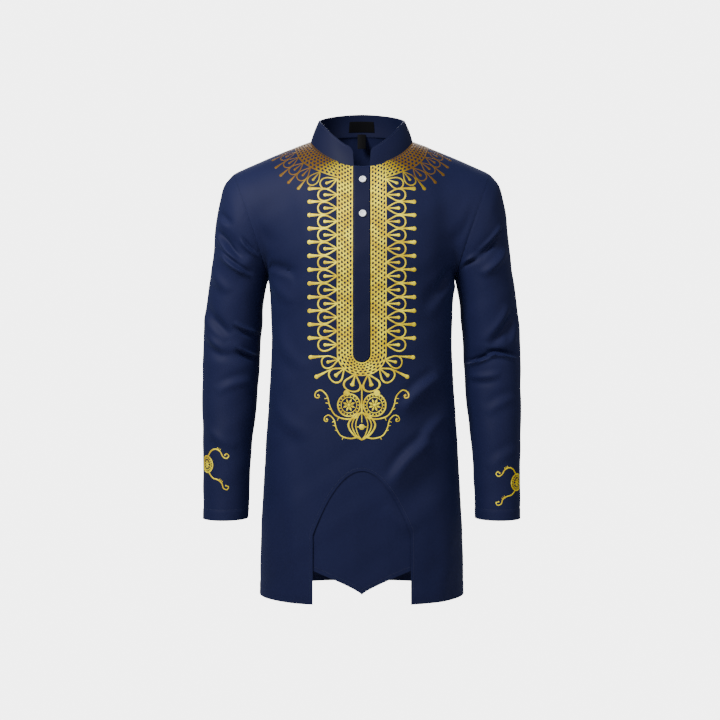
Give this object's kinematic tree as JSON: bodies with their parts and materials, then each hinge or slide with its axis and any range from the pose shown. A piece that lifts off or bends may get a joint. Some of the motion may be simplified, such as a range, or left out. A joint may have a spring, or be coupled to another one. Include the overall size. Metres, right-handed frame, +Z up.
{
  "type": "dashiki shirt",
  "caption": "Long-sleeved dashiki tunic with a stand collar, a buttoned placket and an arched, pointed front hem, filled out as worn.",
  "frame": {"origin": "midway between the two points where the shoulder seams meet the neck, where the wearer's shoulders hold the shirt up", "axes": "+Z up along the wearer's body, -Y out of the shirt's front, +X to the viewer's right when the front is seen"},
  "size_m": [0.5876, 0.2457, 0.896],
  "materials": {
    "shirting": "fine smooth shirting with a faint sheen",
    "collar_cloth": "the shirt's cloth over a stiff interlining",
    "gold_print": "gold foil print on the cloth",
    "button_resin": "polished",
    "label_satin": "black woven satin, bare"
  },
  "bodies": {
    "root": {"front": "shirting", "front_tab": "shirting", "back": "shirting", "sleeve_left": "shirting", "sleeve_right": "shirting", "collar": "collar_cloth", "placket": "shirting", "button_upper": "button_resin", "button_lower": "button_resin", "neck_label": "label_satin", "size_tab": "label_satin"}
  },
  "joints": []
}
